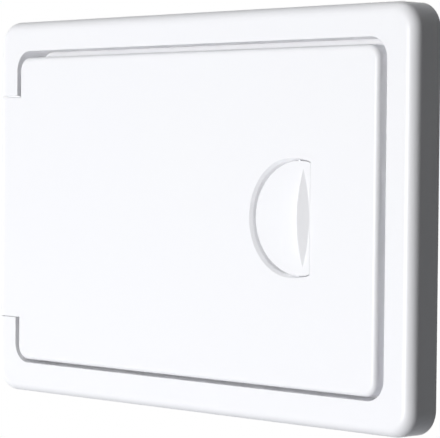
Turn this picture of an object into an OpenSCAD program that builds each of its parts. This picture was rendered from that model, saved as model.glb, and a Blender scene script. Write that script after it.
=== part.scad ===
// Inspection hatch: a moulded frame with a side-hinged door and a half-moon pull latch.
// The wall side of the frame lies in the XZ plane, the front faces -Y and +Z is up.
// The origin is on the wall face, in the middle of the frame's lower rim.

/* [Frame] */
// Overall width of the frame
frame_w = 380; // [300:1:500]
// Overall height of the frame
frame_h = 250; // [210:1:350]
// How far the frame stands off the wall
frame_t = 23; // [22:0.5:30]
// Corner radius of the frame, seen from the front
frame_corner_r = 16; // [14:0.5:24]
// Rounding of the frame's outer front edge
edge_r = 7; // [6:0.25:8]
// Width of the frame's front face
border_w = 20; // [18:0.5:26]
// Corner radius of the door opening in the front face
opening_corner_r = 13; // [10:0.5:18]
// Thickness of the moulded walls
wall = 2.5; // [2:0.1:3]
// Width of the ledge that the door closes on
ledge_w = 16; // [15:0.5:20]
// How far the collar reaches into the wall
collar_len = 25; // [10:1:40]
// Spacing of the stiffening ribs behind the frame
rib_pitch = 44; // [30:1:60]
// Thickness of the ribs
rib_t = 2; // [1.5:0.1:2.5]

/* [Fixing screws] */
// Distance between the outer screws, across
screw_span_x = 280; // [200:1:300]
// Diameter of the screw holes
screw_d = 4.5; // [3.5:0.1:5]
// Diameter of the countersinks
screw_head_d = 8.4; // [7:0.1:8.6]

/* [Door] */
// Gap between the door and the frame along the top
gap_top = 4.2; // [3:0.1:5]
// Gap along the bottom
gap_bottom = 2; // [1.5:0.1:4]
// Gap on the latch side
gap_latch = 7; // [4:0.1:8]
// Gap on the hinge side
gap_hinge = 2.2; // [2.1:0.1:3]
// Corner radius of the door
door_corner_r = 9; // [7:0.5:12]
// Rounding of the door's front edge
door_edge_r = 3; // [2:0.25:3.5]
// Thickness of the door's skin
skin_t = 3; // [2.5:0.1:3.5]
// Height of the ribs behind the skin
door_rib_h = 8; // [3:0.5:9]

/* [Hinge] */
// Length of the hinge tab
tab_len = 148.5; // [100:0.5:160]
// Gap above the hinge tab
tab_gap_top = 1.1; // [0.6:0.1:2]
// Gap below the hinge tab
tab_gap_bottom = 0.6; // [0.5:0.1:2]
// Diameter of the hinge pin
pin_d = 3; // [2.5:0.1:4]
// How far the pin runs into the frame at each end
pin_grip = 14; // [8:1:20]
// Running clearance of the pins, on the radius
pin_clear = 0.06; // [0.03:0.01:0.09]
// Clearance round the hinge barrel and under the tab
seat_clear = 0.6; // [0.5:0.1:1]
// Depth of the notches in the frame at the ends of the tab
notch_depth = 2.6; // [2:0.1:3]
// Radius of the bosses that stand in the notches, round the pin
boss_r = 4.4; // [3:0.1:5]
// Gap between the bosses and the ends of the barrel
boss_clear = 0.2; // [0.1:0.05:0.3]

/* [Latch] */
// Radius of the round finger recess
recess_r = 35.7; // [32:0.1:38]
// Centre of the recess, from the middle of the frame
recess_x = 93.2; // [60:0.1:100]
// Radius of the half-moon flap
flap_r = 34.3; // [32:0.1:35]
// Centre of the flap's arc, to the right of the recess centre
flap_shift = 7.1; // [6:0.1:7.5]
// Height of the latch centre, from the middle of the frame
latch_z = -1; // [-30:0.5:30]
// Slope of the recess wall, from the front face
recess_slope = 50; // [45:1:55]
// Depth at which the recess wall turns steeper
kink_depth = 1.9; // [1.5:0.1:2.5]
// Slope of the steeper wall below
steep_slope = 68; // [62:1:72]
// Width of the steep edge round the flap, where the recess is narrow
roll_w = 1.2; // [0.8:0.1:1.4]
// Depth of the recess, to its floor
recess_depth = 12; // [11:0.5:13]
// Gap round the flap's arc
flap_gap = 0.4; // [0.4:0.05:0.8]
// Gap along the flap's hinged edge
edge_gap = 0.15; // [0.1:0.01:0.3]
// Thickness of the flap
flap_t = 2.6; // [2.2:0.1:3]
// How far the flap's rim stands out of the door
rim_lift = 2.4; // [0:0.1:4]
// Width of the flap's flat part, left of the ridge
flap_flat = 17; // [10:0.5:20]
// Crest of the thumb ridge, to the right of the recess centre
ridge_x = 10.3; // [9:0.1:12]
// Height of the thumb ridge
ridge_h = 5.3; // [3:0.1:6]
// Half the width of the ridge
ridge_half_w = 5.5; // [4.5:0.1:6.5]
// Half the length of the ridge
ridge_half_len = 29.8; // [24:0.1:31]
// Distance from the ridge's crest back to the pivot pin
pivot_back = 6; // [5:0.1:7]
// Depth of the pivot pin below the front face
pivot_depth = 3.2; // [3:0.1:4]
// Diameter of the pivot pin
pivot_d = 2; // [1.6:0.1:2.4]

/* [Bolt] */
// Height of the sliding bolt
bolt_h = 14; // [12:0.5:18]
// Thickness of the bolt
bolt_t = 3.4; // [3:0.1:4]
// How far the bolt reaches past the inner wall of the frame
bolt_throw = 3; // [2:0.1:4]
// Gap between the bolt and what guides it
bolt_clear = 0.3; // [0.25:0.05:0.5]
// Height of the crank on the flap
crank_h = 7; // [5:0.5:9]
// Thickness of the bolt guides
guide_t = 6; // [4:0.5:8]

/* [Seal] */
// Width of the door seal
seal_w = 2.5; // [2:0.1:3]
// Thickness of the seal
seal_t = 1.3; // [1:0.1:2]

/* [Hidden] */
$fn = 64;
eps = 0.01;
overrun = 1;
touch = 0.3;
screw_inset = 0.25;
corner_step = 5;
cup_margin = 9;
bolt_gap = 0.8;
bolt_heel = 8;
guide_space = 4;
inset = 0.3;
bar_wall = 1.4;
bolt_nose = 0.6;
window_gap = 1;

mid_z = frame_h / 2 - wall / 2;
hole_w = frame_w - 2 * border_w;
hole_h = frame_h - 2 * border_w;
clear_w = hole_w - 2 * ledge_w;
clear_h = hole_h - 2 * ledge_w;
clear_r = opening_corner_r - corner_step;
ledge_depth = frame_t - wall;
door_depth = ledge_depth - seal_t - touch;

door_left = -hole_w / 2 + gap_hinge;
door_right = hole_w / 2 - gap_latch;
door_top = hole_h / 2 - gap_top;
door_bottom = -hole_h / 2 + gap_bottom;
door_w = door_right - door_left;
door_h = door_top - door_bottom;
door_x = (door_left + door_right) / 2;
door_z = (door_top + door_bottom) / 2;

hinge_x = -frame_w / 2 + edge_r;
tab_z = (tab_gap_bottom - tab_gap_top) / 2;
seat_r = edge_r + seat_clear;

flap_x = recess_x + flap_shift;
crest_x = recess_x + ridge_x;
axis_x = crest_x - pivot_back;
flap_left = flap_x - flap_r;
rim_slope = rim_lift / (crest_x - flap_flat - flap_left);
ridge_arc_r = (pow(ridge_half_len, 2) + pow(ridge_half_w, 2)) / (2 * ridge_half_w);
ridge_arc_x = ridge_arc_r - ridge_half_w;
bar_r = pivot_d / 2 + bar_wall;
edge_x = crest_x + ridge_half_w + inset;
turn_r = sqrt(pow(edge_x - axis_x, 2) + pow(pivot_depth, 2));
cup_wall = 2;
cup_right = crest_x + cup_margin;
cup_back = recess_depth + cup_wall;
bolt_front = cup_back + bolt_gap;
bolt_back = bolt_front + bolt_t;
bolt_left = axis_x - bolt_heel;
bolt_tip = hole_w / 2 + wall + bolt_throw;
crank_t = 1.8;
crank_tip_r = bolt_t / 2;
pin_seat = 4;
guide_first = cup_right + cup_wall + guide_space;
guide_last = clear_w / 2 - guide_space - guide_t;
guide_leg = 2.5;
guide_base_t = 2;

// A solid cut from a flat outline, from one depth below the front face to another
module layer(from, to) {
    translate([0, to - frame_t, 0])
        rotate([90, 0, 0])
            linear_extrude(height = to - from)
                children();
}

module at_mid() {
    translate([0, 0, mid_z])
        children();
}

module rounded_outline(w, h, r) {
    square([w - 2 * r, h], center = true);
    square([w, h - 2 * r], center = true);
    for (sx = [-1, 1], sz = [-1, 1])
        translate([sx * (w / 2 - r), sz * (h / 2 - r)])
            circle(r = r);
}

module ring_outline(w, h, r, inset) {
    difference() {
        rounded_outline(w, h, r);
        rounded_outline(w - 2 * inset, h - 2 * inset, max(r - inset, 1));
    }
}

// A slab whose front edge is rounded all the way round
module soft_slab(w, h, corner_r, round_r, front, back) {
    layer(front, front + round_r + eps)
        rounded_outline(w - 2 * round_r, h - 2 * round_r, corner_r - round_r);
    layer(front + round_r, back)
        rounded_outline(w, h, corner_r);
    translate([0, front + round_r - frame_t, 0]) {
        for (s = [-1, 1]) {
            translate([0, 0, s * (h / 2 - round_r)])
                rotate([0, 90, 0])
                    cylinder(r = round_r, h = w - 2 * corner_r, center = true);
            translate([s * (w / 2 - round_r), 0, 0])
                cylinder(r = round_r, h = h - 2 * corner_r, center = true);
        }
        for (sx = [-1, 1], sz = [-1, 1])
            translate([sx * (w / 2 - corner_r), 0, sz * (h / 2 - corner_r)])
                rotate([90, 0, 0])
                    rotate_extrude()
                        translate([corner_r - round_r, 0])
                            intersection() {
                                circle(r = round_r);
                                translate([0, -round_r])
                                    square([round_r, 2 * round_r]);
                            }
    }
}

module screw_places() {
    for (sx = [-1, 0, 1], sz = [-1, 1])
        translate([sx * screw_span_x / 2, 0, sz * (clear_h / 2 + wall + screw_d / 2 + screw_inset)])
            children();
}

// Stiffening ribs in the hollow behind the frame's front face
module frame_ribs() {
    span_x = frame_w - 2 * frame_corner_r;
    span_z = frame_h - 2 * frame_corner_r;
    count_x = floor(span_x / rib_pitch / 2);
    count_z = floor(span_z / rib_pitch / 2);
    for (s = [-1, 1]) {
        for (i = [-count_x:count_x])
            translate([i * rib_pitch - rib_t / 2, wall - frame_t,
                    s > 0 ? hole_h / 2 : -frame_h / 2 + wall / 2])
                cube([rib_t, frame_t - wall - 1, border_w - wall / 2]);
        for (i = [-count_z:count_z])
            translate([s > 0 ? hole_w / 2 : -frame_w / 2 + wall / 2, wall - frame_t,
                    i * rib_pitch - rib_t / 2])
                cube([border_w - wall / 2, frame_t - wall - 1, rib_t]);
    }
}

// Space that the hinge tab and its barrel need in the frame
module hinge_space() {
    half = tab_len / 2 + boss_clear;
    translate([-frame_w / 2 - overrun, -frame_t - overrun, tab_z - half])
        cube([border_w + 2 * overrun, skin_t + seat_clear + overrun, 2 * half]);
    translate([hinge_x, edge_r - frame_t, tab_z])
        cylinder(r = seat_r, h = 2 * half, center = true);
    notch(tab_z + tab_len / 2, tab_gap_top);
    notch(tab_z - tab_len / 2 - tab_gap_bottom, tab_gap_bottom);
}

// Narrow notch beside an end of the tab, with a boss left standing round the pin
module notch(low, gap) {
    translate([-frame_w / 2 - overrun, -frame_t - overrun, low])
        cube([border_w + 2 * overrun, notch_depth + overrun, gap]);
    translate([hinge_x, edge_r - frame_t, low])
        difference() {
            intersection() {
                cylinder(r = seat_r, h = gap);
                translate([-2 * seat_r, -seat_r, 0])
                    cube([2 * seat_r, 2 * seat_r, gap]);
            }
            translate([0, 0, -overrun])
                cylinder(r = boss_r, h = gap + 2 * overrun);
        }
}

module frame_shell() {
    difference() {
        soft_slab(frame_w, frame_h, frame_corner_r, edge_r, 0, frame_t);
        soft_slab(frame_w - 2 * wall, frame_h - 2 * wall, frame_corner_r - wall, edge_r - wall,
            wall, frame_t + overrun);
    }
    // Wall between the front face and the ledge, the ledge and the collar
    layer(wall / 2, frame_t)
        ring_outline(hole_w + 2 * wall, hole_h + 2 * wall, opening_corner_r + wall, wall + eps);
    layer(ledge_depth, frame_t)
        ring_outline(hole_w + eps, hole_h + eps, opening_corner_r, ledge_w);
    layer(ledge_depth, frame_t + collar_len)
        ring_outline(clear_w + 2 * wall, clear_h + 2 * wall, clear_r + wall, wall);
    intersection() {
        frame_ribs();
        soft_slab(frame_w - wall, frame_h - wall, frame_corner_r - wall / 2, edge_r - wall / 2,
            wall / 2, frame_t);
    }
    // Solid border that carries the hinge
    intersection() {
        soft_slab(frame_w, frame_h, frame_corner_r, edge_r, 0, frame_t);
        translate([-frame_w / 2, -frame_t, tab_z - tab_len / 2 - pin_grip - wall])
            cube([border_w, 2 * edge_r + wall + 1, tab_len + 2 * (pin_grip + wall)]);
    }
}

module frame() {
    color("white")
        at_mid()
            difference() {
                frame_shell();
                layer(-overrun, ledge_depth)
                    rounded_outline(hole_w, hole_h, opening_corner_r);
                hinge_space();
                // Bore for the hinge pin
                translate([hinge_x, edge_r - frame_t, tab_z])
                    cylinder(r = pin_d / 2, h = tab_len + 2 * pin_grip, center = true);
                screw_places()
                    translate([0, ledge_depth - frame_t, 0])
                        rotate([-90, 0, 0]) {
                            translate([0, 0, -overrun])
                                cylinder(r = screw_d / 2, h = frame_t);
                            translate([0, 0, -eps])
                                cylinder(r1 = screw_head_d / 2, r2 = screw_d / 2,
                                    h = (screw_head_d - screw_d) / 2);
                        }
                // Slot that the bolt catches in
                translate([hole_w / 2 - overrun, 0, 0])
                    bolt_slot(bolt_tip - hole_w / 2 + 2 * overrun, bolt_t + 2 * bolt_clear);
            }
}

// Slot for the bolt, of a given width and depth
module bolt_slot(across, deep) {
    translate([0, bolt_front - bolt_clear - frame_t, latch_z - bolt_h / 2 - 2 * bolt_clear])
        cube([across, deep, bolt_h + 4 * bolt_clear]);
}

module hinge_pin() {
    color("silver")
        at_mid()
            translate([hinge_x, edge_r - frame_t, tab_z])
                cylinder(r = pin_d / 2, h = tab_len + 2 * pin_grip, center = true);
}

module door_seal() {
    color("dimgray")
        at_mid()
            layer(door_depth + touch, ledge_depth)
                translate([door_x, door_z])
                    ring_outline(door_w, door_h, door_corner_r, seal_w);
}

// Circle of the half-moon flap, grown by a gap
module flap_outline(grow) {
    translate([flap_x, latch_z])
        circle(r = flap_r + grow, $fn = 128);
}

// What lies to the left of the flap's hinged edge, which is round about the pivot
module turn_space(grow) {
    translate([axis_x, pivot_depth - frame_t, latch_z])
        cylinder(r = turn_r + grow, h = 4 * flap_r, center = true, $fn = 96);
    translate([axis_x - 4 * flap_r, pivot_depth - frame_t - 2 * turn_r, latch_z - 2 * flap_r])
        cube([4 * flap_r, 4 * turn_r, 4 * flap_r]);
}

// Half circle that stays left of a line, for the cup behind the flap
module cup_outline(grow) {
    intersection() {
        translate([flap_x, latch_z])
            circle(r = flap_r + flap_gap + grow, $fn = 128);
        translate([flap_x - 2 * flap_r, latch_z - 2 * flap_r])
            square([cup_right + grow - flap_x + 2 * flap_r, 4 * flap_r]);
    }
}

// The sloping finger recess at the flap's rim
module recess_cone(grow, depth) {
    kink_r = recess_r + grow - kink_depth / tan(recess_slope);
    end_r = kink_r - (depth - kink_depth) / tan(steep_slope);
    translate([recess_x, -frame_t, latch_z])
        rotate([-90, 0, 0]) {
            cylinder(r1 = recess_r + grow, r2 = kink_r, h = kink_depth, $fn = 128);
            translate([0, 0, kink_depth - eps])
                cylinder(r1 = kink_r, r2 = end_r, h = depth - kink_depth + eps, $fn = 128);
        }
}

// The steep edge round the flap's arc, above and below the finger recess
module rolled_edge() {
    translate([flap_x - 2 * roll_w, -frame_t, latch_z])
        rotate([-90, 0, 0])
            cylinder(r1 = flap_r + roll_w, r2 = flap_r, h = roll_w * tan(steep_slope), $fn = 128);
}

module door_ribs() {
    rib_end = recess_x - recess_r;
    rib_count = 3;
    for (i = [1:rib_count])
        translate([door_left + i * (rib_end - door_left) / (rib_count + 1) - rib_t / 2,
            skin_t - eps - frame_t, door_bottom + wall / 2])
            cube([rib_t, door_rib_h, door_h - wall]);
    for (i = [-1:1])
        translate([door_left + wall / 2, skin_t - eps - frame_t, latch_z + i * door_h / 4 - rib_t / 2])
            cube([rib_end - door_left - wall / 2, door_rib_h, rib_t]);
}

module hinge_tab() {
    translate([hinge_x, -frame_t, tab_z - tab_len / 2])
        cube([door_left + door_edge_r - hinge_x + wall, skin_t, tab_len]);
    translate([hinge_x, edge_r - frame_t, tab_z])
        cylinder(r = edge_r, h = tab_len, center = true);
}

module door_body() {
    translate([door_x, 0, door_z])
        difference() {
            soft_slab(door_w, door_h, door_corner_r, door_edge_r, 0, door_depth);
            layer(skin_t, door_depth + overrun)
                rounded_outline(door_w - 2 * wall, door_h - 2 * wall, door_corner_r - wall);
        }
    hinge_tab();
    door_ribs();
    // Cup behind the flap, and the seats of the pivot pin on its wall
    layer(skin_t - eps, cup_back)
        cup_outline(cup_wall);
    intersection() {
        recess_cone(cup_wall * 1.5, cup_back);
        layer(skin_t - eps, cup_back)
            translate([cup_right + cup_wall - frame_w, -frame_h / 2])
                square([frame_w, frame_h]);
    }
    layer(skin_t - eps, pivot_depth + bar_r)
        intersection() {
            cup_outline(cup_wall + pin_seat);
            translate([axis_x, latch_z])
                square([2 * (bar_r + overrun), 4 * flap_r], center = true);
        }
}

module pivot_hole(r) {
    translate([axis_x, pivot_depth - frame_t, latch_z])
        cylinder(r = r, h = 2 * (flap_r + flap_gap + pin_seat), center = true);
}

module door() {
    color("white")
        at_mid()
            difference() {
                door_body();
                // The skin stays whole to the right of the flap's hinged edge
                intersection() {
                    union() {
                        layer(-overrun, skin_t + eps)
                            flap_outline(flap_gap);
                        recess_cone(0, recess_depth);
                        rolled_edge();
                    }
                    turn_space(edge_gap);
                }
                layer(skin_t, recess_depth)
                    cup_outline(0);
                translate([hinge_x, edge_r - frame_t, tab_z])
                    cylinder(r = pin_d / 2 + pin_clear, h = tab_len + 2 * overrun, center = true);
                pivot_hole(pivot_d / 2);
                // Notch for the bolt in the rim
                translate([door_right - wall - overrun, 0, 0])
                    bolt_slot(wall + 2 * overrun, door_depth);
                // Window for the crank
                translate([bolt_left, recess_depth - overrun - frame_t, latch_z - crank_h / 2 - window_gap])
                    cube([axis_x + crank_tip_r + window_gap - bolt_left, cup_wall + 2 * overrun,
                        crank_h + 2 * window_gap]);
            }
}

module pivot_pin() {
    color("silver")
        at_mid()
            pivot_hole(pivot_d / 2);
}

// Low leaf-shaped ridge with a straight crest, where two shallow cones meet
module thumb_ridge() {
    intersection_for (s = [-1, 1])
        translate([crest_x + s * ridge_arc_x, -frame_t, latch_z])
            rotate([90, 0, 0])
                cylinder(r1 = ridge_arc_r, r2 = ridge_arc_r - ridge_half_w, h = ridge_h, $fn = 256);
}

module flap_plate() {
    bend_x = crest_x - flap_flat;
    far_x = flap_left - overrun;
    far_lift = rim_slope * (bend_x - far_x);
    right_x = edge_x + overrun;
    intersection() {
        layer(-rim_lift - 2 * overrun, flap_t + overrun)
            flap_outline(0);
        turn_space(0);
        translate([0, -frame_t, latch_z - flap_r - overrun])
            linear_extrude(height = 2 * (flap_r + overrun))
                polygon([
                    [far_x, -far_lift], [bend_x, 0], [right_x, 0],
                    [right_x, flap_t], [bend_x, flap_t], [far_x, flap_t - far_lift]
                ]);
    }
}

module pull_flap() {
    color("white")
        at_mid()
            difference() {
                union() {
                    flap_plate();
                    thumb_ridge();
                    // Bar that turns on the pin
                    intersection() {
                        layer(overrun / 2, pivot_depth + bar_r)
                            flap_outline(-inset);
                        translate([axis_x - bar_r, -frame_t, latch_z - 2 * flap_r])
                            cube([2 * bar_r, pivot_depth + bar_r, 4 * flap_r]);
                    }
                    // Crank that draws the bolt
                    translate([axis_x - crank_t / 2, flap_t / 2 - frame_t, latch_z - crank_h / 2])
                        cube([crank_t, bolt_front + bolt_t / 2 - flap_t / 2, crank_h]);
                    translate([axis_x, bolt_front + bolt_t / 2 - frame_t, latch_z])
                        cylinder(r = crank_tip_r, h = crank_h, center = true);
                }
                pivot_hole(pivot_d / 2 + pin_clear);
            }
}

module latch_bolt() {
    window_half = crank_tip_r + bolt_clear;
    color("gainsboro")
        at_mid()
            difference() {
                translate([0, -frame_t, latch_z - bolt_h / 2])
                    linear_extrude(height = bolt_h)
                        polygon([
                            [bolt_left, bolt_front], [bolt_tip, bolt_front], [bolt_tip, bolt_front + bolt_nose],
                            [bolt_tip - bolt_t + bolt_nose, bolt_back], [bolt_left, bolt_back]
                        ]);
                translate([axis_x - window_half, bolt_front - overrun - frame_t,
                    latch_z - crank_h / 2 - bolt_clear])
                    cube([2 * window_half, bolt_t + 2 * overrun, crank_h + 2 * bolt_clear]);
            }
}

// Bracket behind the door with two loops that the bolt slides in
module bolt_guide() {
    loop_h = bolt_h + 2 * (bolt_clear + guide_leg);
    loop_back = bolt_back + bolt_clear + guide_leg;
    color("gainsboro")
        at_mid()
            difference() {
                translate([0, -frame_t, latch_z - loop_h / 2]) {
                    translate([guide_first, skin_t, 0])
                        cube([guide_last + guide_t - guide_first, guide_base_t, loop_h]);
                    for (x = [guide_first, guide_last])
                        translate([x, skin_t, 0])
                            cube([guide_t, loop_back - skin_t, loop_h]);
                }
                translate([guide_first - overrun, bolt_front - bolt_clear - frame_t,
                    latch_z - bolt_h / 2 - bolt_clear])
                    cube([guide_last + guide_t - guide_first + 2 * overrun, bolt_t + 2 * bolt_clear,
                        bolt_h + 2 * bolt_clear]);
            }
}

frame();
hinge_pin();
door_seal();
door();
pivot_pin();
bolt_guide();
pull_flap();
latch_bolt();
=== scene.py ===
# %% [markdown]
# # A white inspection hatch
# The hatch is a caravan fitting: a deep moulded frame, a door on a long barrel hinge and a
# half-moon pull latch. The model from the CAD work is loaded as a fixed frame, and everything
# below gives it its finishes, its small fittings, a camera and a studio. Lengths are in metres,
# so a size in millimetres is written as a number times MM.

import math

import bpy
import numpy as np
from mathutils import Matrix, Vector


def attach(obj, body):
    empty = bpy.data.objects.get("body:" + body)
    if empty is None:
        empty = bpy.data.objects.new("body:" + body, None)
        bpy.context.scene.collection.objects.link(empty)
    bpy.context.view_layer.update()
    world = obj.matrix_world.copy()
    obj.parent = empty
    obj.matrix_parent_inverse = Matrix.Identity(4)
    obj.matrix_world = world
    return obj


MM = 0.001
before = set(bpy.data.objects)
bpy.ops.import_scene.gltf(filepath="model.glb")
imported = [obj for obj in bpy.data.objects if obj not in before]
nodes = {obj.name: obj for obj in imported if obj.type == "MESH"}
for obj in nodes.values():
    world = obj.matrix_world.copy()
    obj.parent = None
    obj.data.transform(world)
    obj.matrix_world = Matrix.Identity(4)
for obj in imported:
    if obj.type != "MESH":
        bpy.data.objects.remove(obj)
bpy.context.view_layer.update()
scene = bpy.context.scene
print("nodes:", sorted(nodes))

# %% [markdown]
# ## Camera
# The photograph was taken from the hatch's right, almost level with it, with a long lens. The
# four outer edges of the frame and the round latch fix the camera: 46.8 degrees round to the
# right, 1.5 degrees down, half a degree of roll, about 1.5 m away. The focal length is kept in
# pixels of a picture 440 wide, and the lens follows from it on a 36 mm sensor.

# %% Camera
PICTURE_WIDTH, SENSOR_WIDTH = 440, 36
FOCAL_PX = 2312.9
YAW, PITCH, ROLL = math.radians(46.783), math.radians(1.514), math.radians(0.564)
TARGET = Vector((0.00743, 0.0, 0.119671))
DISTANCE = 1.45638


def camera_axes():
    """Right, up and forward. Forward is (-sin yaw cos pitch, cos yaw cos pitch, -sin pitch) and
    level is (cos yaw, sin yaw, 0). Roll turns level and its upright about forward."""
    forward = Vector((
        -math.sin(YAW) * math.cos(PITCH), math.cos(YAW) * math.cos(PITCH), -math.sin(PITCH),
    ))
    level = Vector((math.cos(YAW), math.sin(YAW), 0.0))
    upright = level.cross(forward)
    right = level * math.cos(ROLL) + upright * math.sin(ROLL)
    up = upright * math.cos(ROLL) - level * math.sin(ROLL)
    return right, up, forward


def add_camera():
    """Puts the camera DISTANCE back from TARGET. The lens is the focal length in pixels, over the
    width of the picture in pixels, times the width of the sensor."""
    right, up, forward = camera_axes()
    data = bpy.data.cameras.new("camera")
    data.lens = FOCAL_PX / PICTURE_WIDTH * SENSOR_WIDTH
    data.sensor_width = SENSOR_WIDTH
    data.clip_start, data.clip_end = 0.05, 50
    camera = bpy.data.objects.new("camera", data)
    turn = Matrix((right, up, -forward)).transposed()
    camera.matrix_world = Matrix.Translation(TARGET - forward * DISTANCE) @ turn.to_4x4()
    scene.collection.objects.link(camera)
    scene.camera = camera
    print("camera: lens of", round(data.lens, 1), "mm,", DISTANCE, "m from the hatch")


add_camera()

# %% [markdown]
# ## Colours
# A hex colour is written in sRGB, the way a paint chart or a picture editor gives it. Blender's
# shaders want linear light, so one function straightens each channel by the sRGB curve.

# %% Colour helper
def linear(hex_colour):
    """Linear RGBA of an sRGB hex colour: c/12.92 up to 0.04045, else ((c+0.055)/1.055)^2.4."""
    channels = [int(hex_colour[i:i + 2], 16) / 255 for i in (1, 3, 5)]
    return [((c + 0.055) / 1.055) ** 2.4 if c > 0.04045 else c / 12.92 for c in channels] + [1.0]


# %% [markdown]
# ## Adding shader nodes
# Every material is a small graph of nodes. One helper makes a node, sets its properties and its
# inputs, and links whatever socket it is given, so each recipe below reads from top to bottom.
# All patterns read Object coordinates, which are metres on the piece and move along with it.

# %% Node helper
def add(tree, kind, inputs=None, **settings):
    """Adds a node; inputs maps socket names or numbers to values or to sockets to link."""
    node = tree.nodes.new(kind)
    for name, value in settings.items():
        setattr(node, name, value)
    for key, value in (inputs or {}).items():
        if isinstance(value, bpy.types.NodeSocket):
            tree.links.new(value, node.inputs[key])
        else:
            node.inputs[key].default_value = value
    return node


def new_material(name):
    """A material with an empty graph, that graph, and the Object coordinates in it."""
    material = bpy.data.materials.new(name)
    material.use_nodes = True
    tree = material.node_tree
    tree.nodes.clear()
    return material, tree, add(tree, "ShaderNodeTexCoord").outputs["Object"]


# %% [markdown]
# ## Moulded ASA plastic
# The frame, the door and the flap are injection moulded in white ASA, the usual plastic of
# outdoor caravan fittings. The tool is finely polished, so the skin has a satin gloss, a very
# shallow orange peel of about 2 mm and a hardly visible drift in its colour. No moulded edge is
# truly sharp, because the tool's corners are rounded by hand. A Bevel node turns the normals near
# each edge as a 0.7 mm rounding would, without a single new face, and the bump adds to that.

# %% White moulding
WHITE, WHITE_COOL = "#F8F8F8", "#F7F7F9"
DRIFTS_PER_METRE = 9.0
PEEL_WIDTH, PEEL_HEIGHT = 2.0 * MM, 0.01 * MM
EDGE_RADIUS = 0.7 * MM


def white_moulding():
    """Satin white: two near whites mixed by a slow drift, an orange peel and soft edges."""
    material, tree, place = new_material("white_asa_moulding")
    drift = add(tree, "ShaderNodeTexNoise", {
        "Vector": place, "Scale": DRIFTS_PER_METRE, "Detail": 2.0,
    })
    colour = add(tree, "ShaderNodeMix", {
        "Factor": drift.outputs["Fac"], "A": linear(WHITE), "B": linear(WHITE_COOL),
    }, data_type="RGBA")
    peel = add(tree, "ShaderNodeTexNoise", {
        "Vector": place, "Scale": 1 / PEEL_WIDTH, "Detail": 1.0,
    })
    edge = add(tree, "ShaderNodeBevel", {"Radius": EDGE_RADIUS}, samples=8)
    skin = add(tree, "ShaderNodeBump", {
        "Height": peel.outputs["Fac"], "Distance": PEEL_HEIGHT, "Strength": 0.3,
        "Normal": edge.outputs["Normal"],
    })
    shader = add(tree, "ShaderNodeBsdfPrincipled", {
        "Base Color": colour.outputs["Result"], "Roughness": 0.38, "IOR": 1.51,
        "Normal": skin.outputs["Normal"],
    })
    add(tree, "ShaderNodeOutputMaterial", {"Surface": shader.outputs["BSDF"]})
    return material


# %% [markdown]
# ## Steel, grey polymer and rubber
# The hinge pin and the pivot pin are drawn steel wire: fine bright lines run along them, so the
# noise is stretched fifty times along Z. The bolt and its guide are moulded in grey acetal, a
# hard-wearing plastic with a waxy, half-matt skin and faint flow marks. The door seal is black
# EPDM rubber, which is matt and very slightly grainy. The lines of the steel and the grain of the
# rubber are drawn coarser than the real ones, so that a close view shows them.

# %% Drawn steel
LINE_WIDTH, LINE_SQUEEZE = 0.3 * MM, 0.02


def drawn_steel():
    """Bright wire: the roughness changes in lines along Z, so the shine breaks up across it."""
    material, tree, place = new_material("drawn_steel_wire")
    stretch = add(tree, "ShaderNodeMapping", {"Vector": place, "Scale": (1.0, 1.0, LINE_SQUEEZE)})
    lines = add(tree, "ShaderNodeTexNoise", {
        "Vector": stretch.outputs["Vector"], "Scale": 1 / LINE_WIDTH, "Detail": 2.0,
    })
    rough = add(tree, "ShaderNodeMapRange", {
        "Value": lines.outputs["Fac"], "To Min": 0.22, "To Max": 0.38,
    })
    shader = add(tree, "ShaderNodeBsdfPrincipled", {
        "Base Color": linear("#B9BCC0"), "Metallic": 1.0, "Roughness": rough.outputs["Result"],
    })
    add(tree, "ShaderNodeOutputMaterial", {"Surface": shader.outputs["BSDF"]})
    return material


# %% Grey acetal
FLOW_WIDTH = 12 * MM
MATT_WIDTH, MATT_HEIGHT = 0.5 * MM, 0.02 * MM


def grey_acetal():
    """Half-matt grey: two greys mixed by flow marks, over a fine moulded grain."""
    material, tree, place = new_material("grey_acetal")
    flow = add(tree, "ShaderNodeTexNoise", {
        "Vector": place, "Scale": 1 / FLOW_WIDTH, "Detail": 2.0,
    })
    colour = add(tree, "ShaderNodeMix", {
        "Factor": flow.outputs["Fac"], "A": linear("#D5D7DA"), "B": linear("#CDD0D3"),
    }, data_type="RGBA")
    grain = add(tree, "ShaderNodeTexNoise", {
        "Vector": place, "Scale": 1 / MATT_WIDTH, "Detail": 1.0,
    })
    skin = add(tree, "ShaderNodeBump", {
        "Height": grain.outputs["Fac"], "Distance": MATT_HEIGHT, "Strength": 0.4,
    })
    shader = add(tree, "ShaderNodeBsdfPrincipled", {
        "Base Color": colour.outputs["Result"], "Roughness": 0.5, "IOR": 1.48,
        "Normal": skin.outputs["Normal"],
    })
    add(tree, "ShaderNodeOutputMaterial", {"Surface": shader.outputs["BSDF"]})
    return material


# %% Black rubber
GRAIN_WIDTH, GRAIN_HEIGHT = 0.6 * MM, 0.05 * MM


def black_rubber():
    """Matt black: one grain mixes two blacks and roughens the surface."""
    material, tree, place = new_material("black_epdm_rubber")
    grain = add(tree, "ShaderNodeTexNoise", {
        "Vector": place, "Scale": 1 / GRAIN_WIDTH, "Detail": 2.0,
    })
    colour = add(tree, "ShaderNodeMix", {
        "Factor": grain.outputs["Fac"], "A": linear("#1C1D1E"), "B": linear("#2B2C2E"),
    }, data_type="RGBA")
    skin = add(tree, "ShaderNodeBump", {
        "Height": grain.outputs["Fac"], "Distance": GRAIN_HEIGHT, "Strength": 0.6,
    })
    shader = add(tree, "ShaderNodeBsdfPrincipled", {
        "Base Color": colour.outputs["Result"], "Roughness": 0.75, "IOR": 1.52,
        "Normal": skin.outputs["Normal"],
    })
    add(tree, "ShaderNodeOutputMaterial", {"Surface": shader.outputs["BSDF"]})
    return material


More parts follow.
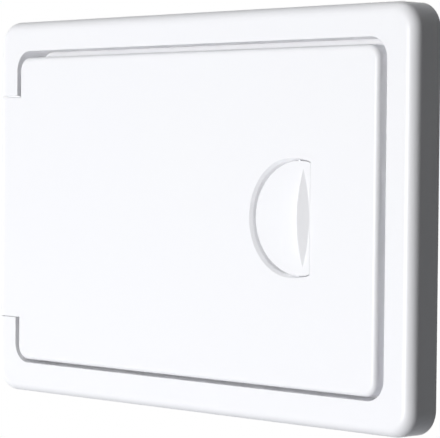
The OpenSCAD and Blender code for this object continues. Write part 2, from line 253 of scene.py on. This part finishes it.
# %% Materials on the nodes
white, steel, acetal, rubber = white_moulding(), drawn_steel(), grey_acetal(), black_rubber()
finishes = {
    "frame": white, "door": white, "pull_flap": white, "hinge_pin": steel, "pivot_pin": steel,
    "bolt_guide": acetal, "latch_bolt": acetal, "door_seal": rubber,
}
for name, node in nodes.items():
    node.data.materials.clear()
    node.data.materials.append(finishes[name])
    print(name, "is", finishes[name].name)

# %% [markdown]
# ## Six screws in the ledge
# The frame is screwed to the caravan wall through the ledge behind the door, so the screws show
# only when the hatch is open. They are 4 mm countersunk screws with a cross recess. A screw is a
# surface of revolution, so its points are a function of the ring and of the angle. Only the top
# rings depend on both: a low dome with two crossing slots pressed into it.

# %% Head of a screw
HEAD_R, SHANK_R, DOME = 4.1 * MM, 2.0 * MM, 0.35 * MM
SLOT_DEPTH, SLOT_HALF_W, SLOT_HALF_L = 1.3 * MM, 0.55 * MM, 2.3 * MM
SLOT_SIDE, SLOT_END = 0.25 * MM, 1.4 * MM


def slot_shape(along, across):
    """1 in the slot, falling to 0 over 0.25 mm at its sides and over 1.4 mm at its ends."""
    side = np.clip((SLOT_HALF_W - np.abs(across)) / SLOT_SIDE, 0, 1)
    end = np.clip((SLOT_HALF_L - np.abs(along)) / SLOT_END, 0, 1)
    return side * end


def head_top(radius, angle):
    """Height over the rim: dome * (1 - (r/R)^2), less the deeper of two slots that cross."""
    x, z = radius * np.cos(angle), radius * np.sin(angle)
    cross = np.maximum(slot_shape(x, z), slot_shape(z, x))
    return DOME * (1 - (radius / HEAD_R) ** 2) - SLOT_DEPTH * cross


# %% Surface of a screw
SEGMENTS, HEAD_RINGS, POLE = 64, 26, 0.02
RIM, LENGTH = 0.1 * MM, 2.4 * MM


def screw_points(turn):
    """Rings from the middle of the head out to its rim, then down the cone and the shank.
    Each ring is (r cos a, -height, r sin a), so the head looks towards -Y."""
    angle = np.linspace(0, 2 * np.pi, SEGMENTS, endpoint=False)
    top_r = np.linspace(POLE, 1.0, HEAD_RINGS) * HEAD_R
    top_h = head_top(top_r[:, None], angle[None, :])
    side_r = np.array([HEAD_R, SHANK_R, SHANK_R, POLE * SHANK_R])
    side_h = np.array([-RIM, -RIM - (HEAD_R - SHANK_R), -LENGTH, -LENGTH])
    around = np.ones((1, SEGMENTS))
    radius = np.concatenate([top_r, side_r])[:, None] * around
    height = np.concatenate([top_h, side_h[:, None] * around])
    angle = angle[None, :] + turn
    return np.stack([radius * np.cos(angle), -height, radius * np.sin(angle)], axis=-1)


def ring_faces(rings, count, first):
    """Quads between neighbouring rings, and one many-sided cap on each end ring."""
    i, j = np.meshgrid(np.arange(rings - 1), np.arange(count), indexing="ij")
    k = (j + 1) % count
    quads = np.stack([
        i * count + j, (i + 1) * count + j, (i + 1) * count + k, i * count + k,
    ], axis=-1)
    start, end = np.arange(count), (rings * count - 1) - np.arange(count)
    return (quads.reshape(-1, 4) + first).tolist() + [list(first + start), list(first + end)]


# %% Screws in their places
# Places are in millimetres from the middle of the frame, and turns are in radians.
LEDGE_Y, MID_Z = -2.5 * MM, 123.75 * MM
PLACES = [(x, z) for z in (94, -94) for x in (-140, 0, 140)]
TURNS = [0.3, 1.1, 0.7, 1.4, 0.1, 0.9]
SMOOTH_BELOW = math.radians(35)
points, faces = [], []
for n, ((x, z), turn) in enumerate(zip(PLACES, TURNS)):
    screw = screw_points(turn) + np.array([x * MM, LEDGE_Y, MID_Z + z * MM])
    rings, count = screw.shape[:2]
    faces += ring_faces(rings, count, n * rings * count)
    points.append(screw.reshape(-1, 3))
mesh = bpy.data.meshes.new("ledge_screws")
mesh.from_pydata(np.concatenate(points).tolist(), [], faces)
mesh.polygons.foreach_set("use_smooth", np.ones(len(mesh.polygons), dtype=bool))
mesh.set_sharp_from_angle(angle=SMOOTH_BELOW)
mesh.materials.append(steel)
ledge_screws = bpy.data.objects.new("ledge_screws", mesh)
scene.collection.objects.link(ledge_screws)
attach(ledge_screws, "frame_body")
print(len(PLACES), "screws with", len(mesh.polygons), "faces")

# %% [markdown]
# ## Soft studio light
# White plastic shows its shape only by soft shading, so the light has to be even but not the same
# from all sides. The front gives half of it, from a little to the right, which turns the rounded
# edges slowly darker. A strong box low in front does what a pale table does: it lights the lower
# roundings and the wall of the top groove, and the door keeps it off that groove's floor. Weaker
# boxes on the left, above and below open the other grooves. Hardly anything stands on the right,
# so the side wall is the darkest face. One box behind the hatch is for the views from the back.
# The power of an area lamp follows from the brightness that a white sheet would have under it, so
# the lamps can be added up: on the front they make a little less than 1, and white stays just
# below clipping. Light bounces many times between the white walls of a groove, so more diffuse
# bounces than usual are allowed.

# %% Light
scene.view_settings.view_transform = "Standard"
scene.cycles.max_bounces = 20
scene.cycles.diffuse_bounces = 16
MIDDLE = Vector((0.0, 0.0, 0.12))


def add_softbox(name, place, size, level, colour="#FFFFFF"):
    """A square lamp aimed at the middle of the hatch. A white sheet that faces it there gets a
    brightness of level, so the power is pi * pi * distance^2 * level watts."""
    place = Vector(place)
    distance = (MIDDLE - place).length
    data = bpy.data.lights.new(name, "AREA")
    data.shape = "SQUARE"
    data.size = size
    data.energy = math.pi ** 2 * distance ** 2 * level
    data.color = linear(colour)[:3]
    lamp = bpy.data.objects.new(name, data)
    lamp.location = place
    lamp.rotation_mode = "QUATERNION"
    lamp.rotation_quaternion = (MIDDLE - place).to_track_quat("-Z", "Y")
    lamp.visible_camera = False
    scene.collection.objects.link(lamp)
    print(name, "at", round(distance, 2), "m,", round(data.energy), "W")


# Name, place in metres, side in metres, level, and a colour where it isn't white.
add_softbox("front", (0.26, -4.99, 0.12), 1.2, 0.557)
add_softbox("front_right", (1.9, -4.4, 0.12), 1.2, 0.03)
add_softbox("low_front", (-0.1, -2.4, -0.62), 0.8, 0.35, "#FAFBFF")
add_softbox("below_left", (-0.75, -0.65, -0.68), 0.8, 0.12, "#F6F8FF")
add_softbox("left", (-3.98, -0.35, 0.12), 1.9, 0.12, "#F6F8FF")
add_softbox("overhead", (-0.4, -1.2, 3.4), 2.0, 0.17, "#F4F7FF")
add_softbox("behind", (-1.9, 3.2, 0.3), 1.6, 0.5)

# %% [markdown]
# ## What the camera sees and what gives light
# A background can look white without lighting the object. The Light Path node says what kind of
# ray asks for the colour: camera, glossy and transmission rays are the ones that an eye follows,
# and they get the white. Diffuse rays carry the light from surface to surface, and they get none.

# %% Ray helper
def seen_rays(tree):
    """1 for camera, glossy and transmission rays, the largest of the three, and 0 for others."""
    path = add(tree, "ShaderNodeLightPath").outputs
    direct = add(tree, "ShaderNodeMath", {
        0: path["Is Camera Ray"], 1: path["Is Glossy Ray"],
    }, operation="MAXIMUM")
    return add(tree, "ShaderNodeMath", {
        0: direct.outputs["Value"], 1: path["Is Transmission Ray"],
    }, operation="MAXIMUM").outputs["Value"]


# %% [markdown]
# ## Floor
# A plain pale disc lies well under the hatch, which hangs in the air as it does on its wall. The
# disc takes the hatch's soft shadow in its diffuse colour, and it looks pale because the camera
# and the reflections also see an even glow, which grows towards the rim to meet the white
# background.

# %% Studio floor
FLOOR_RADIUS, FLOOR_Z, FLOOR_CORNERS = 4.2, -0.9, 96
FADE_START, FADE_END = 0.25 * FLOOR_RADIUS, 0.9 * FLOOR_RADIUS
GLOW_MIDDLE, GLOW_RIM = 0.76, 0.95
FLOOR_GREY = "#8E9198"


def pale_floor():
    """Grey paint plus a glow for seen rays. The glow goes from 0.76 in the middle to 0.95 at the
    rim, on a smooth step of the distance from the origin."""
    material, tree, place = new_material("pale_floor")
    reach = add(tree, "ShaderNodeVectorMath", {0: place}, operation="LENGTH")
    fade = add(tree, "ShaderNodeMapRange", {
        "Value": reach.outputs["Value"], "From Min": FADE_START, "From Max": FADE_END,
        "To Min": GLOW_MIDDLE, "To Max": GLOW_RIM,
    }, interpolation_type="SMOOTHSTEP")
    level = add(tree, "ShaderNodeMath", {
        0: fade.outputs["Result"], 1: seen_rays(tree),
    }, operation="MULTIPLY")
    paint = add(tree, "ShaderNodeBsdfDiffuse", {"Color": linear(FLOOR_GREY), "Roughness": 0.3})
    glow = add(tree, "ShaderNodeEmission", {
        "Color": linear("#FFFFFF"), "Strength": level.outputs["Value"],
    })
    both = add(tree, "ShaderNodeAddShader", {
        0: paint.outputs["BSDF"], 1: glow.outputs["Emission"],
    })
    add(tree, "ShaderNodeOutputMaterial", {"Surface": both.outputs["Shader"]})
    return material


def studio_floor():
    """A flat disc: corner k is (R cos a, R sin a, height) with a = 2 pi k / corners."""
    angle = np.linspace(0, 2 * np.pi, FLOOR_CORNERS, endpoint=False)
    rim = FLOOR_RADIUS * np.stack([np.cos(angle), np.sin(angle), np.zeros_like(angle)], axis=1)
    rim[:, 2] = FLOOR_Z
    mesh = bpy.data.meshes.new("studio_floor")
    mesh.from_pydata(rim.tolist(), [], [list(range(FLOOR_CORNERS))])
    mesh.materials.append(pale_floor())
    floor = bpy.data.objects.new("studio_floor", mesh)
    scene.collection.objects.link(floor)
    print("floor:", 2 * FLOOR_RADIUS, "m across at", FLOOR_Z, "m")


studio_floor()

# %% [markdown]
# ## Background
# The world is plain white for what the camera and the reflections see, and dark for everything
# else, so the background never adds light to the object.

# %% White background
def add_world():
    """A white background whose strength is 1 for seen rays and 0 for the rest."""
    world = bpy.data.worlds.new("studio")
    world.use_nodes = True
    tree = world.node_tree
    tree.nodes.clear()
    white_wall = add(tree, "ShaderNodeBackground", {
        "Color": linear("#FFFFFF"), "Strength": seen_rays(tree),
    })
    add(tree, "ShaderNodeOutputWorld", {"Surface": white_wall.outputs["Background"]})
    scene.world = world
    print("background: white for the eye, no light from it")


add_world()

# %% [markdown]
